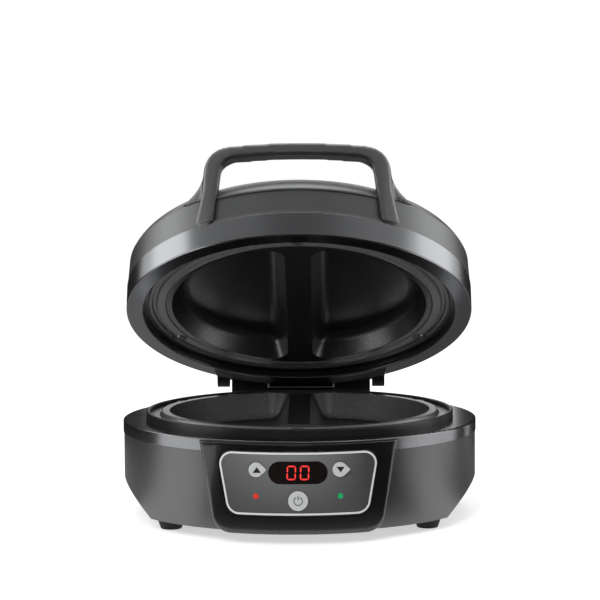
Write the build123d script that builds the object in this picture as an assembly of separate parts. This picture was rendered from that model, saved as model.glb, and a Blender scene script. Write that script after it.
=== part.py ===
"""Electric omelette maker: a round base with a two-cavity plate under a hinged, domed lid.

Millimetres, +Z up, +X to the right, -Y towards the user.  The origin is on the table, under the
centre of the round base.  The lid is modelled closed and then turned about the hinge axis to its
resting position, standing part open.
"""
from build123d import *
import math
import os

os.makedirs("parts", exist_ok=True)

# ---------------------------------------------------------------- driving dimensions
# base housing
base_radius = 130.0            # outside of the polished trim ring
shell_inset = 0.5              # how far the housing stands back from the trim ring
wall = 2.5                     # moulded walls
foot_height = 8.0
shell_top = 62.4               # seat of the trim ring
deck_z = 71.0                  # flat top of the trim ring
trim_wall = 1.5
flange_thickness = 3.0
flange_bore = 104.5            # radius of the opening that the lower plate hangs in
side_cut_x = 105.5             # where the sloped side cuts meet the underside
side_cut_rise = 22.0           # height of the cuts at the sides of the housing
part_gap = 0.2                 # between pieces that drop into each other

# black collar round the lower plate
collar_outer = 113.2
collar_inner = 110.7
collar_top = 77.0
collar_shelf = 71.2            # carries the flange of the lower plate
collar_foot_thickness = 2.5
collar_web_radius = 116.0

# cooking plates
plate_wall = 3.0
plate_flange_radius = 110.4
channel_floor = 73.8           # grease channel of the lower plate
ridge_outer = 102.0
ridge_inner = 97.0
ridge_top = 76.8
cavity_radius = 96.0
divider_half_width = 8.0
cavity_corner = 14.0
cavity_taper = 25.0            # draft of the cavity walls, degrees
lower_cavity_depth = 20.0
upper_cavity_depth = 16.0
cavity_floor_fillet = 9.0
screw_circle = 105.5           # plate screws
screw_angles = (-90.0, 30.0, 150.0)
screw_notch_radius = 5.7

# lid, heights measured from its rim when it is closed
lid_radius = 128.0
lid_gap = 0.5                  # rim above the deck when the lid is closed
band_height = 17.6
lid_trim_wall = 1.6
rim_round = 0.9                # rounding of the lid's lower rim, as a few narrow facets
rim_facets = 3
recess_radius = 115.5
recess_depth = 8.0
lid_wall = 3.0
dome_inset = 0.4
shoulder_height = 38.0
shoulder_draft = 1.1
dome_height = 62.0
crest_corner = (11.0, 3.0)     # how far the crest's curve stays inside the dome's corner
crest_reach = 36.0             # level part of the crest, measured in from the dome's side
pocket_depth = 1.4             # shallow finger recess between the handle legs
pocket_bottom = 19.2
pocket_top = 36.6
upper_ridge_height = 5.8
upper_ridge_outer = 105.2
upper_ridge_step = 99.4
upper_ridge_inner = 94.5
upper_plate_radius = 117.0
upper_flange_thickness = 2.8
bead_outer = 111.5
bead_inner = 109.3
bead_height = 6.5

# handle
handle_front_radius = 230.0    # plan curvature of the bar
handle_front_y = -122.0
handle_depth = 9.8
handle_top = 76.6
handle_bar_height = 7.8
handle_foot_half_width = 72.0
handle_leg_half_width = 66.8   # where the legs leave the dome
handle_leg_height = 44.0
handle_top_half_width = 65.0
handle_inner_foot = 59.8
handle_inner_top = 54.4
handle_outer_corner = 16.0
handle_inner_corner = 11.0
handle_proud = 1.0             # legs in front of the lid's band
handle_flare = 22.0            # radius of the blend between the legs and the shoulder of the dome
handle_flare_top = 62.0
handle_flare_depth = 16.0

# hinge
hinge_y = 140.0
hinge_z = 84.0
rest_opening = 31.0            # degrees from closed to the resting position
knuckle_radius = 8.0
pin_radius = 2.5
pin_clearance = 0.05
lid_outer_knuckle = (56.6, 66.3)
base_knuckle = (26.8, 54.8)
lid_centre_knuckle = 25.2
knuckle_clearance = 1.0
bracket_bottom = 30.0
bracket_top = 70.4

# console
console_forward = 10.0         # how far the console's face stands in front of the housing
console_top = 70.4
console_bottom = 7.3
console_top_half_width = 70.0
console_bottom_half_width = 60.5
console_side_slope = 5.0       # how much narrower the face is on each side
console_lip = 0.3              # how far the underside rises towards the face
console_corner = 14.0
console_wall = 3.6
pocket_half_width = 47.0
pocket_low = 17.0
pocket_high = 65.5
frame_top_half_width = 56.0
frame_bottom_half_width = 48.4
frame_top = 64.8
frame_bottom = 21.3
frame_corner = 9.0
frame_width = 1.3
frame_depth = 2.0
frame_proud = 0.4
panel_lip = 2.4
window_width = 40.6
window_height = 15.6
window_z = 50.8
button_radius = 5.1
start_radius = 6.8
button_x = 28.7
button_z = 52.7
start_z = 31.5
led_x = 29.0
led_z = 34.2
led_radius = 2.0
button_gap = 0.35
button_proud = 1.4
button_travel = 0.8
button_nib = 2.2
board_front = -125.6
board_thickness = 1.6
board_half_width = 45.5
board_low = 18.5
board_high = 58.6
switch_size = 6.0
switch_height = 3.5
plunger_radius = 1.7
plunger_height = 0.9
display_size = (24.0, 14.6, 10.4)

# feet
foot_x = 91.5
foot_y = 68.0
foot_top_radius = 10.2
foot_bottom_radius = 7.4
post_radius = 5.0

# heating
element_radius = 60.0
element_tube = 3.3
element_lead = 18.0
element_bend = 10.0
element_gap = 10.0             # half the space between the two ends
shield_thickness = 0.8
shield_radius = 98.6
shield_lip = 110.0
shield_depth = 7.0             # space under the element
thermostat_radius = 8.0
thermostat_height = 7.0
thermostat_x = 35.0

# small fasteners
screw_radius = 1.6
screw_hole = 1.7
screw_head_radius = 3.1
screw_head_height = 2.0

# values that follow
shell_radius = base_radius - shell_inset
shell_inner = shell_radius - wall
flange_bottom = shell_top - flange_thickness
side_slope = math.atan2(side_cut_rise, shell_radius - side_cut_x)
lid_seat = deck_z + lid_gap
dome_radius = lid_radius - dome_inset
console_radius = base_radius
console_centre_y = -console_forward


# ---------------------------------------------------------------- shared shapes
def disc(radius, low, high, x=0.0, y=0.0):
    """Upright round solid between two heights."""
    return Pos(x, y, low) * extrude(Circle(radius), high - low)


def tube(outer, inner, low, high, y=0.0):
    """Upright ring between two heights."""
    return Pos(0, y, low) * extrude(Circle(outer) - Circle(inner), high - low)


def block(x0, x1, y0, y1, z0, z1):
    """Upright box between three pairs of planes."""
    return Pos((x0 + x1) / 2, (y0 + y1) / 2, (z0 + z1) / 2) * Box(x1 - x0, y1 - y0, z1 - z0)


def turned(points):
    """Solid of revolution about Z from (radius, height) corners."""
    return revolve(make_face(Plane.XZ * Polyline(*points, close=True)), Axis.Z)


def rod_x(radius, x0, x1, y, z):
    """Round bar along X."""
    return Plane(origin=(x0, y, z), z_dir=(1, 0, 0)) * extrude(Circle(radius), x1 - x0)


def rod_y(radius, y0, y1, x, z):
    """Round bar along Y."""
    return Plane(origin=(x, y0, z), x_dir=(1, 0, 0), z_dir=(0, 1, 0)) * extrude(Circle(radius), y1 - y0)


def front_face(sketch, y0, y1):
    """Extrudes a sketch drawn in front view (x, z) from y0 back to y1."""
    plane = Plane(origin=(0, y1, 0), x_dir=(1, 0, 0), z_dir=(0, -1, 0))
    return plane * extrude(sketch, y1 - y0)


def on_circle(radius, angle):
    """Plan position at an angle from +X."""
    return radius * math.cos(math.radians(angle)), radius * math.sin(math.radians(angle))


def screw(x, y, head_z, tip_z):
    """Upright pan-head screw: the head's seat is at head_z and its shank ends at tip_z."""
    step = math.copysign(screw_head_height, head_z - tip_z)
    head = disc(screw_head_radius, min(head_z, head_z + step), max(head_z, head_z + step), x, y)
    slot = Pos(x, y, head_z + step) * Box(0.9 * screw_head_radius * 2, 0.8, 1.4)
    shank = disc(screw_radius, min(head_z, tip_z), max(head_z, tip_z), x, y)
    return (head - slot) + shank


def screw_along_y(x, z, head_y, tip_y):
    """Screw lying along Y, with its head at head_y."""
    step = math.copysign(screw_head_height, head_y - tip_y)
    head = rod_y(screw_head_radius, min(head_y, head_y + step), max(head_y, head_y + step), x, z)
    shank = rod_y(screw_radius, min(head_y, tip_y), max(head_y, tip_y), x, z)
    return head + shank


def together(parts):
    """One piece made of separate solids, such as a set of screws."""
    return Compound([solid for part in parts for solid in part.solids()])


def open_lid(part):
    """Turns a lid piece from closed to its resting position."""
    return part.rotate(Axis((0, hinge_y, hinge_z), (1, 0, 0)), -rest_opening)


def lid_z(height):
    """Height above the lid's rim, as a height above the table with the lid closed."""
    return lid_seat + height


def write(part, name):
    part.label = name
    export_step(part, f"parts/{name}.step")


# ---------------------------------------------------------------- base housing
def side_cuts(inward):
    """The two sloped cuts at the sides of the housing, moved inward by a wall."""
    x = side_cut_x - inward / math.sin(side_slope)
    reach = 60.0
    drop = 6.0
    slope = math.tan(side_slope)
    corners = [(x - drop / slope, foot_height - drop), (x + reach, foot_height - drop),
               (x + reach, foot_height + reach * slope)]
    plane = Plane(origin=(0, base_radius * 2, 0), x_dir=(1, 0, 0), z_dir=(0, -1, 0))
    wedge = plane * extrude(make_face(Polyline(*corners, close=True)), base_radius * 4)
    return wedge + mirror(wedge, Plane.YZ)


def base_inside():
    """The space inside the housing."""
    return disc(shell_inner, foot_height, flange_bottom) - side_cuts(wall)


foot_places = [(x, y) for x in (-foot_x, foot_x) for y in (-foot_y, foot_y)]
plate_screw_places = [on_circle(screw_circle, angle) for angle in screw_angles]
cover_thickness = wall
cover_top = foot_height + cover_thickness
console_screw_x = 56.0
console_screw_heights = (24.0, 52.0)
console_screws_at = [(x, z) for x in (-console_screw_x, console_screw_x) for z in console_screw_heights]
bracket_screw_x = 40.0
bracket_screw_heights = (38.0, 54.0)
lid_bracket_screw_y = 114.0
bracket_screws_at = [(x, z) for x in (-bracket_screw_x, bracket_screw_x) for z in bracket_screw_heights]
gland_x = 0.0
gland_z = 44.0
gland_radius = 6.0
gland_bore = 3.6


def shell_wall_y(x, radius):
    """Distance from the XZ plane to a round wall at a given x."""
    return math.sqrt(radius * radius - x * x)


def base_shell():
    outside = disc(shell_radius, foot_height, shell_top) - side_cuts(0.0)
    shell = outside - base_inside() - disc(flange_bore, flange_bottom - 1, shell_top + 1)
    for x, y in foot_places:
        shell += disc(post_radius, cover_top, flange_bottom + 1, x, y)
        shell -= disc(screw_hole, cover_top - 1, cover_top + 14, x, y)
    for x, y in plate_screw_places:
        shell += disc(post_radius, flange_bottom - 14, shell_top, x, y)
        shell -= disc(screw_hole, flange_bottom - 10, shell_top + 1, x, y)
    shell -= block(-pocket_half_width, pocket_half_width, -base_radius - 5, -base_radius + 20,
                   pocket_low - 1, flange_bottom)
    for x, z in console_screws_at:
        shell -= rod_y(screw_hole, -base_radius, -base_radius + 25, x, z)
    for x, z in bracket_screws_at:
        shell -= rod_y(screw_hole, base_radius - 25, base_radius, x, z)
    shell -= rod_y(gland_radius, base_radius - 15, base_radius + 5, gland_x, gland_z)
    return shell


def base_trim_ring():
    ring = turned([
        (collar_outer + part_gap, deck_z - trim_wall), (base_radius - trim_wall, deck_z - trim_wall),
        (base_radius - trim_wall, shell_top), (base_radius, shell_top),
        (base_radius, deck_z), (collar_outer + part_gap, deck_z)])
    rim = ring.edges().filter_by(GeomType.CIRCLE).filter_by_position(Axis.Z, deck_z - 0.01, deck_z + 0.01)
    return fillet(rim.sort_by(SortBy.RADIUS)[-1], 0.9)


def base_collar():
    collar = turned([
        (flange_bore, shell_top + shield_thickness + 0.1),
        (shield_lip + part_gap, shell_top + shield_thickness + 0.1),
        (shield_lip + part_gap, shell_top), (base_radius - trim_wall - part_gap, shell_top),
        (base_radius - trim_wall - part_gap, shell_top + collar_foot_thickness),
        (collar_web_radius, shell_top + collar_foot_thickness),
        (collar_web_radius, deck_z - trim_wall), (collar_outer, deck_z - trim_wall),
        (collar_outer, collar_top), (collar_inner, collar_top),
        (collar_inner, collar_shelf), (flange_bore, collar_shelf)])
    top = collar.edges().filter_by(GeomType.CIRCLE).filter_by_position(
        Axis.Z, collar_top - 0.01, collar_top + 0.01)
    collar = fillet(top, 0.8)
    for x, y in plate_screw_places:
        collar += disc(post_radius, shell_top + shield_thickness + 0.1, collar_shelf, x, y)
        collar -= disc(screw_hole, shell_top - 1, collar_shelf + 1, x, y)
    return collar


def base_bottom_cover():
    outline = base_inside() & block(-200, 200, -200, 200, foot_height, cover_top)
    cover = offset(outline.faces().sort_by(Axis.Z)[0], -part_gap)
    cover = extrude(cover, cover_thickness, dir=(0, 0, 1))
    for x, y in board_posts():
        cover += disc(3.5, cover_top, power_board_z, x, y)
    for x, y in foot_places:
        cover -= disc(screw_hole, foot_height - 1, cover_top + 1, x, y)
    vent = SlotOverall(36, 3)
    for row in range(5):
        cover -= Pos(0, -30 - 8 * row, foot_height - 1) * extrude(vent, cover_thickness + 2)
    return cover


def rubber_foot(x, y):
    body = loft([Pos(x, y, 0) * Circle(foot_bottom_radius), Pos(x, y, foot_height) * Circle(foot_top_radius)])
    body = fillet(body.edges().sort_by(Axis.Z)[0], 1.2)
    recess = disc(screw_head_radius + 0.4, -1, foot_height - 3, x, y)
    return body - recess - disc(screw_hole, -1, foot_height + 1, x, y)


def foot_screws():
    return together([screw(x, y, foot_height - 3, cover_top + 12) for x, y in foot_places])


# ---------------------------------------------------------------- cooking plates
def cavity_outline(grow):
    """Half-round cavity on the right of the divider, grown by a wall."""
    radius = cavity_radius + grow
    inner = divider_half_width - grow
    half_disc = Circle(radius) & Pos(inner + radius, 0) * Rectangle(2 * radius, 4 * radius)
    return fillet(half_disc.vertices(), cavity_corner + grow)


def cavity(grow, depth, floor_fillet):
    """One cavity as a solid, with its mouth at z = 0 and its floor at -depth."""
    body = extrude(cavity_outline(grow), -depth, taper=cavity_taper)
    return fillet(body.faces().sort_by(Axis.Z)[0].edges(), floor_fillet)


def both_sides(part):
    return part + mirror(part, Plane.YZ)


def lower_plate():
    depth = lower_cavity_depth
    flange = turned([
        (0, channel_floor - plate_wall + 0.4), (plate_flange_radius, channel_floor - plate_wall + 0.4),
        (plate_flange_radius, channel_floor), (ridge_outer + 1.2, channel_floor),
        (ridge_outer, ridge_top - 0.8), (ridge_outer - 0.8, ridge_top), (0, ridge_top)])
    tub = cavity(plate_wall, depth + plate_wall, cavity_floor_fillet + plate_wall)
    plate = flange + Pos(0, 0, ridge_top) * both_sides(tub)
    plate -= Pos(0, 0, ridge_top) * both_sides(cavity(0, depth, cavity_floor_fillet))
    for x, y in plate_screw_places:
        plate -= disc(screw_notch_radius, channel_floor, ridge_top + 1, x, y)
        plate -= disc(screw_hole, collar_shelf - 1, channel_floor + 1, x, y)
    return plate


def upper_plate():
    depth = upper_cavity_depth
    top = lid_z(recess_depth + upper_flange_thickness)
    flange = turned([
        (0, top), (upper_plate_radius, top), (upper_plate_radius, lid_z(recess_depth)),
        (bead_outer + 0.6, lid_z(recess_depth)), (bead_outer, lid_z(bead_height)),
        (bead_inner, lid_z(bead_height)), (bead_inner - 0.6, lid_z(recess_depth)),
        (upper_ridge_outer + 1.0, lid_z(recess_depth)), (upper_ridge_outer, lid_z(upper_ridge_height)),
        (upper_ridge_step, lid_z(upper_ridge_height)),
        (upper_ridge_step - 0.4, lid_z(upper_ridge_height + 0.9)),
        (upper_ridge_step - 1.0, lid_z(upper_ridge_height + 0.3)),
        (upper_ridge_inner, lid_z(upper_ridge_height + 0.3)), (0, lid_z(upper_ridge_height + 0.3))])
    mouth = lid_z(upper_ridge_height + 0.3)
    turn_over = Pos(0, 0, mouth) * Rot(180, 0, 0)
    shrink = cavity_radius - upper_ridge_inner
    tub = cavity(plate_wall - shrink, depth + plate_wall, cavity_floor_fillet + plate_wall)
    plate = flange + turn_over * both_sides(tub)
    plate -= turn_over * both_sides(cavity(-shrink, depth, cavity_floor_fillet))
    for x, y in plate_screw_places:
        plate -= disc(screw_notch_radius, lid_z(0), lid_z(recess_depth), x, y)
        plate -= disc(screw_hole, lid_z(0), top + 1, x, y)
    return plate


def lower_plate_screws():
    tip = flange_bottom - 8
    return together([screw(x, y, channel_floor, tip) for x, y in plate_screw_places])


def upper_plate_screws():
    seat = lid_z(recess_depth)
    return together([screw(x, y, seat, seat + 18) for x, y in plate_screw_places])


# ---------------------------------------------------------------- heating parts
def heating_element(z):
    """Open loop of tubular element lying on the back of a plate, with both ends led to the rear."""
    bend, gap = element_bend, element_gap
    turn = math.degrees(math.acos((gap + bend) / (element_radius + bend)))
    reach = (element_radius + bend) * math.sin(math.radians(turn))
    path = Wire([
        Line((-gap, reach + element_lead), (-gap, reach)),
        CenterArc((-gap - bend, reach), bend, 0, -turn),
        CenterArc((0, 0), element_radius, 180 - turn, 180 + 2 * turn),
        CenterArc((gap + bend, reach), bend, 180 + turn, -turn),
        Line((gap, reach), (gap, reach + element_lead))])
    path = Pos(0, 0, z) * path
    profile = Plane(origin=path @ 0, z_dir=path % 0) * Circle(element_tube)
    return sweep(profile, path)


def heat_shield(lip_z, floor_z):
    """Pressed pan over an element: a lip that stands on lip_z and a flat floor at floor_z."""
    t = shield_thickness
    inward = math.copysign(t, lip_z - floor_z)
    outer_lip, inner_lip = (lip_z, lip_z + t) if inward > 0 else (lip_z + t, lip_z)
    pan = turned([
        (0, floor_z), (shield_radius + t, floor_z), (shield_radius + t, outer_lip),
        (shield_lip, outer_lip), (shield_lip, inner_lip), (shield_radius, inner_lip),
        (shield_radius, floor_z + inward), (0, floor_z + inward)])
    for x, y in plate_screw_places:
        pan -= disc(screw_hole, lip_z - 2, lip_z + 2, x, y)
    return pan


lower_tub_back = ridge_top - lower_cavity_depth - plate_wall
upper_tub_back = lid_z(upper_ridge_height + 0.3 + upper_cavity_depth + plate_wall)
lower_element_z = lower_tub_back - element_tube - 0.1
upper_element_z = upper_tub_back + element_tube + 0.1
lower_shield_floor = lower_element_z - element_tube - shield_depth
upper_shield_floor = upper_element_z + element_tube + shield_depth
upper_lip = lid_z(recess_depth + upper_flange_thickness)


def thermostat(seat, outward):
    """Disc thermostat with two blade terminals, seated on the back of a plate."""
    ends = sorted((seat, seat + outward * thermostat_height))
    body = disc(thermostat_radius, *ends, thermostat_x, 0)
    for y in (-3.5, 3.5):
        tip = seat + outward * (thermostat_height + 3)
        low, high = sorted((seat + outward * thermostat_height, tip))
        body += block(thermostat_x - 2.4, thermostat_x + 2.4, y - 0.4, y + 0.4, low, high)
    return body


# ---------------------------------------------------------------- hinge
def on_hinge_axis(radius, x0, x1):
    return rod_x(radius, x0, x1, hinge_y, hinge_z)


def base_hinge_bracket():
    half = base_knuckle[1]
    back = hinge_y + knuckle_radius
    body = block(-half, half, 100, back, bracket_bottom, bracket_top)
    body = chamfer(body.edges().filter_by(Axis.X).group_by(Axis.Z)[0].sort_by(Axis.Y)[-1:], 10)
    body -= disc(shell_radius + 0.1, bracket_bottom - 1, shell_top)
    body -= disc(base_radius + part_gap, shell_top, bracket_top + 1)
    for x0, x1 in (base_knuckle, (-base_knuckle[1], -base_knuckle[0])):
        web = block(x0, x1, hinge_y - knuckle_radius, back, bracket_top - 1, hinge_z)
        body += web + on_hinge_axis(knuckle_radius, x0, x1)
        body -= on_hinge_axis(pin_radius + pin_clearance, x0 - 1, x1 + 1)
    cradle = block(-base_knuckle[0], base_knuckle[0], hinge_y, back, bracket_top - 1, hinge_z - 2)
    body += cradle - on_hinge_axis(knuckle_radius + knuckle_clearance, -base_knuckle[0], base_knuckle[0])
    for x, z in bracket_screws_at:
        body -= rod_y(screw_hole, 100, shell_wall_y(x, shell_radius) + 8, x, z)
    body -= rod_y(gland_radius + 1.5, 100, back + 1, gland_x, gland_z)
    return body


def bracket_screws():
    parts = []
    for x, z in bracket_screws_at:
        head = shell_wall_y(abs(x) + screw_head_radius, shell_inner)
        parts.append(screw_along_y(x, z, head, head + 10))
    return together(parts)


def hinge_pin():
    end = lid_outer_knuckle[1] - 0.2
    return on_hinge_axis(pin_radius, -end, end)


def cord_bushing():
    """Grommet in the rear wall for the mains cord; the cord itself is not part of the model."""
    front = shell_inner - 1.6
    body = rod_y(gland_radius - 0.1, front, base_radius + 6, gland_x, gland_z)
    body += rod_y(gland_radius + 1.2, front - 1.6, front, gland_x, gland_z)
    return body - rod_y(gland_bore, front - 3, base_radius + 8, gland_x, gland_z)


def lid_hinge_bracket():
    """Black bracket let into the rear of the lid's rim, with three knuckles."""
    half = lid_outer_knuckle[1]
    rim = tube(lid_radius - 0.2, recess_radius + lid_trim_wall + part_gap, lid_z(0), lid_z(band_height))
    body = rim & block(-half, half, 60, 200, lid_z(0), lid_z(band_height))
    spans = (lid_outer_knuckle, (-lid_outer_knuckle[1], -lid_outer_knuckle[0]),
             (-lid_centre_knuckle, lid_centre_knuckle))
    for x0, x1 in spans:
        inner = recess_radius + lid_trim_wall + part_gap
        arm = block(x0, x1, 90, hinge_y, hinge_z - 3.5, lid_z(band_height))
        arm -= disc(inner, hinge_z - 5, lid_z(band_height) + 1)
        body += arm + on_hinge_axis(knuckle_radius, x0, x1)
    for x0, x1 in (base_knuckle, (-base_knuckle[1], -base_knuckle[0])):
        body -= on_hinge_axis(knuckle_radius + knuckle_clearance,
                              x0 - knuckle_clearance, x1 + knuckle_clearance)
    body -= on_hinge_axis(pin_radius + pin_clearance, -half - 1, half + 1)
    for x in (-bracket_screw_x, bracket_screw_x):
        body -= disc(screw_hole, lid_z(6), lid_z(band_height) + 1, x, lid_bracket_screw_y)
    return body


def lid_bracket_screws():
    seat = lid_z(band_height + lid_wall)
    places = (-bracket_screw_x, bracket_screw_x)
    return together([screw(x, lid_bracket_screw_y, seat, lid_z(8)) for x in places])


# ---------------------------------------------------------------- lid
def rounded_rim(radius, side):
    """Corner points of the ring's lower rim, from its wall (side 1 outside, -1 inside) to its underside."""
    points = []
    for step in range(rim_facets + 1):
        turn = math.pi / 2 * step / rim_facets
        back, up = rim_round * (1 - math.cos(turn)), rim_round * (1 - math.sin(turn))
        points.append((radius - side * back, lid_z(0) + up))
    return points


def lid_trim_ring():
    """Polished band with its flat rim; a gap at the rear takes the hinge bracket."""
    inner = recess_radius + lid_trim_wall
    back = lid_radius - lid_trim_wall
    ring = turned([
        *rounded_rim(recess_radius, -1), *reversed(rounded_rim(lid_radius, 1)),
        (lid_radius, lid_z(band_height)), (back, lid_z(band_height)), (back, lid_z(lid_trim_wall)),
        (inner, lid_z(lid_trim_wall)),
        (inner, lid_z(recess_depth)), (recess_radius, lid_z(recess_depth))])
    half = lid_outer_knuckle[1] + part_gap
    notch = tube(lid_radius + 5, inner, lid_z(-1), lid_z(band_height + 1))
    return ring - (notch & block(-half, half, 60, 200, lid_z(-1), lid_z(band_height + 1)))


def dome_solid(inset):
    """The domed lid as a full solid, drawn inward by a wall thickness."""
    radius = dome_radius - inset
    crown = lid_z(dome_height) - inset
    shoulder = (radius - shoulder_draft, lid_z(shoulder_height))
    corner = (radius - crest_corner[0], crown - crest_corner[1])
    side = Line((radius, lid_z(band_height)), shoulder)
    crest = Bezier(shoulder, corner, (radius - crest_reach, crown), (0, crown))
    close = Polyline((0, crown), (0, lid_z(band_height)), (radius, lid_z(band_height)))
    return revolve(make_face(Plane.XZ * (side + crest + close)), Axis.Z)


handle_screw_x = (handle_foot_half_width + handle_inner_foot) / 2
handle_places = (-handle_screw_x, handle_screw_x)
handle_screw_height = 28.0
handle_pad_back = -97.0
handle_screw_length = 9.0


def handle_outline():
    """Front view of the handle, an arch on two spread legs, in (x, height above the rim)."""
    foot, leg, top = handle_foot_half_width, handle_leg_half_width, handle_top_half_width
    outer = make_face(Polyline((-foot, band_height), (-leg, handle_leg_height), (-top, handle_top),
                               (top, handle_top), (leg, handle_leg_height), (foot, band_height), close=True))
    outer = fillet(outer.vertices().group_by(Axis.Y)[-1], handle_outer_corner)
    crown = handle_top - handle_bar_height
    inner = make_face(Polyline((-handle_inner_foot, band_height), (-handle_inner_top, crown),
                               (handle_inner_top, crown), (handle_inner_foot, band_height), close=True))
    inner = fillet(inner.vertices().group_by(Axis.Y)[-1], handle_inner_corner)
    return outer - inner


def flare_outline():
    """Front view of the two webs that blend the legs into the shoulder of the dome."""
    r, leg = handle_flare, handle_leg_half_width - 0.8
    root = handle_leg_half_width - handle_inner_foot
    web = Pos(leg + (r - root) / 2, handle_flare_top - r / 2) * Rectangle(r + root, r)
    web -= Pos(leg + r, handle_flare_top) * Circle(r)
    return web + mirror(web, Plane.YZ)


def handle_solid():
    """The arch, bent in plan to a flatter curve than the lid, with its legs trimmed to the lid."""
    centre = handle_front_y + handle_front_radius
    shell = tube(handle_front_radius, handle_front_radius - handle_depth, 0, 400, centre)
    near, far = handle_front_y - 20, handle_front_y + 60
    arch = front_face(Pos(0, lid_seat) * handle_outline(), near, far) & shell
    web_shell = tube(handle_front_radius, handle_front_radius - handle_flare_depth, 0, 400, centre)
    flare = front_face(Pos(0, lid_seat) * flare_outline(), near, far) & web_shell
    flare = (flare & disc(dome_radius - 1.2, 0, 400)) - dome_solid(lid_wall / 2)
    return (arch & disc(lid_radius + handle_proud, 0, 400)) + flare


def lid_handle():
    handle = handle_solid()
    tip = handle_pad_back - handle_screw_length
    for x in handle_places:
        handle -= rod_y(screw_hole, tip - 0.5, 0, x, lid_z(handle_screw_height))
    return handle


def lid_shell():
    outside = dome_solid(0)
    shell = outside - dome_solid(lid_wall)
    for x, y in plate_screw_places:
        shell += disc(post_radius, upper_lip + shield_thickness, lid_z(dome_height), x, y) & outside
    flange_half = lid_outer_knuckle[1]
    flange = tube(dome_radius - 1, recess_radius - 8, lid_z(band_height), lid_z(band_height + lid_wall))
    shell += flange & block(-flange_half, flange_half, 60, 200, lid_z(0), lid_z(60))
    for x in handle_places:
        pad = block(x - 13, x + 13, handle_front_y - 20, handle_pad_back, lid_z(band_height), lid_z(38))
        shell += pad & outside
    pocket = tube(dome_radius + 5, dome_radius - pocket_depth - 0.6, lid_z(pocket_bottom), lid_z(pocket_top))
    half = handle_inner_foot
    shell -= pocket & block(-half, half, -200, 0, 0, 300)
    shell -= handle_solid()
    for x, y in plate_screw_places:
        shell -= disc(screw_hole, upper_lip, upper_lip + 18, x, y)
    for x in handle_places:
        shell -= rod_y(screw_hole, -130, handle_pad_back + 1, x, lid_z(handle_screw_height))
    for x in (-bracket_screw_x, bracket_screw_x):
        shell -= disc(screw_hole, lid_z(band_height) - 1, lid_z(band_height + lid_wall) + 1, x,
                      lid_bracket_screw_y)
    return shell


def handle_screws():
    z = lid_z(handle_screw_height)
    tip = handle_pad_back - handle_screw_length
    return together([screw_along_y(x, z, handle_pad_back, tip) for x in handle_places])


# ---------------------------------------------------------------- console
def console_face(inset, outset=0.0):
    """Round solid whose surface is the console's face, moved inward by inset."""
    return disc(console_radius - inset + outset, 0, 100, 0, console_centre_y)


def console_outline(inset, low, corner):
    """Front view of the console, with rounded lower corners."""
    top, bottom = console_top_half_width - inset, console_bottom_half_width - inset
    shape = make_face(Polyline((-top, console_top), (top, console_top), (bottom, low), (-bottom, low),
                               close=True))
    return fillet(shape.vertices().group_by(Axis.Y)[0], corner)


def console_bulge():
    """The console's body: sides that draw in towards a round face."""
    root_y, face_y_limit = -base_radius + 24, -base_radius - console_forward - 2
    root = console_outline(0, console_bottom, console_corner - 4)
    front = console_outline(console_side_slope, console_bottom + console_lip, console_corner)
    planes = [Plane(origin=(0, y, 0), x_dir=(1, 0, 0), z_dir=(0, -1, 0)) for y in (root_y, face_y_limit)]
    return loft([planes[0] * root, planes[1] * front], ruled=True) & console_face(0)


def frame_outline(inset):
    top, bottom = frame_top_half_width, frame_bottom_half_width
    shape = make_face(Polyline((-top, frame_top), (top, frame_top), (bottom, frame_bottom),
                               (-bottom, frame_bottom), close=True))
    shape = fillet(shape.vertices(), frame_corner)
    return offset(shape, -inset) if inset else shape


def button_outline():
    """Round button with a small pointer on its right side."""
    tip = button_radius + button_nib
    root = button_radius ** 2 / tip
    flank = math.sqrt(button_radius ** 2 - root ** 2)
    nib = make_face(Polyline((0, 0), (root, -flank), (tip, 0), (root, flank), close=True))
    return Circle(button_radius) + nib


def window_outline(grow):
    return SlotOverall(window_width + 2 * grow, window_height + 2 * grow)


def console_housing():
    body = console_bulge() - disc(shell_radius + 0.1, 0, shell_top)
    body -= disc(base_radius + 0.1, shell_top, 100)
    pocket = block(-pocket_half_width, pocket_half_width, -200, 0, pocket_low, pocket_high)
    body -= pocket & console_face(console_wall)
    body -= front_face(frame_outline(0), -200, 0) - console_face(frame_depth + 0.1)
    body -= front_face(frame_outline(panel_lip), -200, 0) - console_face(console_wall)
    for x, z in board_screws_at:
        reach = sorted((math.copysign(abs(x) - 3, x), math.copysign(pocket_half_width + 0.5, x)))
        body += block(*reach, board_front - board_lug, board_front, z - 3, z + 3)
        body -= rod_y(board_screw_radius + 0.05, board_front - board_lug - 1, board_front + 1, x, z)
    for x, z in console_screws_at:
        body -= rod_y(screw_hole, -shell_wall_y(x, shell_radius) - 6, 0, x, z)
    return body


board_hole_inset = (4.0, 3.6)
board_lug = 2.8
board_screw_radius = 1.0
board_screw_x = board_half_width - board_hole_inset[0]
board_screw_heights = (board_low + board_hole_inset[1], board_high - board_hole_inset[1])
board_screws_at = [(x, z) for x in (-board_screw_x, board_screw_x) for z in board_screw_heights]


def console_screws():
    parts = []
    for x, z in console_screws_at:
        head = -shell_wall_y(abs(x) + screw_head_radius, shell_inner)
        parts.append(screw_along_y(x, z, head, head - 9))
    return together(parts)


def chrome_frame():
    ring = front_face(frame_outline(0.1) - frame_outline(0.1 + frame_width), -200, 0)
    return ring & (console_face(0, frame_proud) - console_face(frame_depth))


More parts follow.
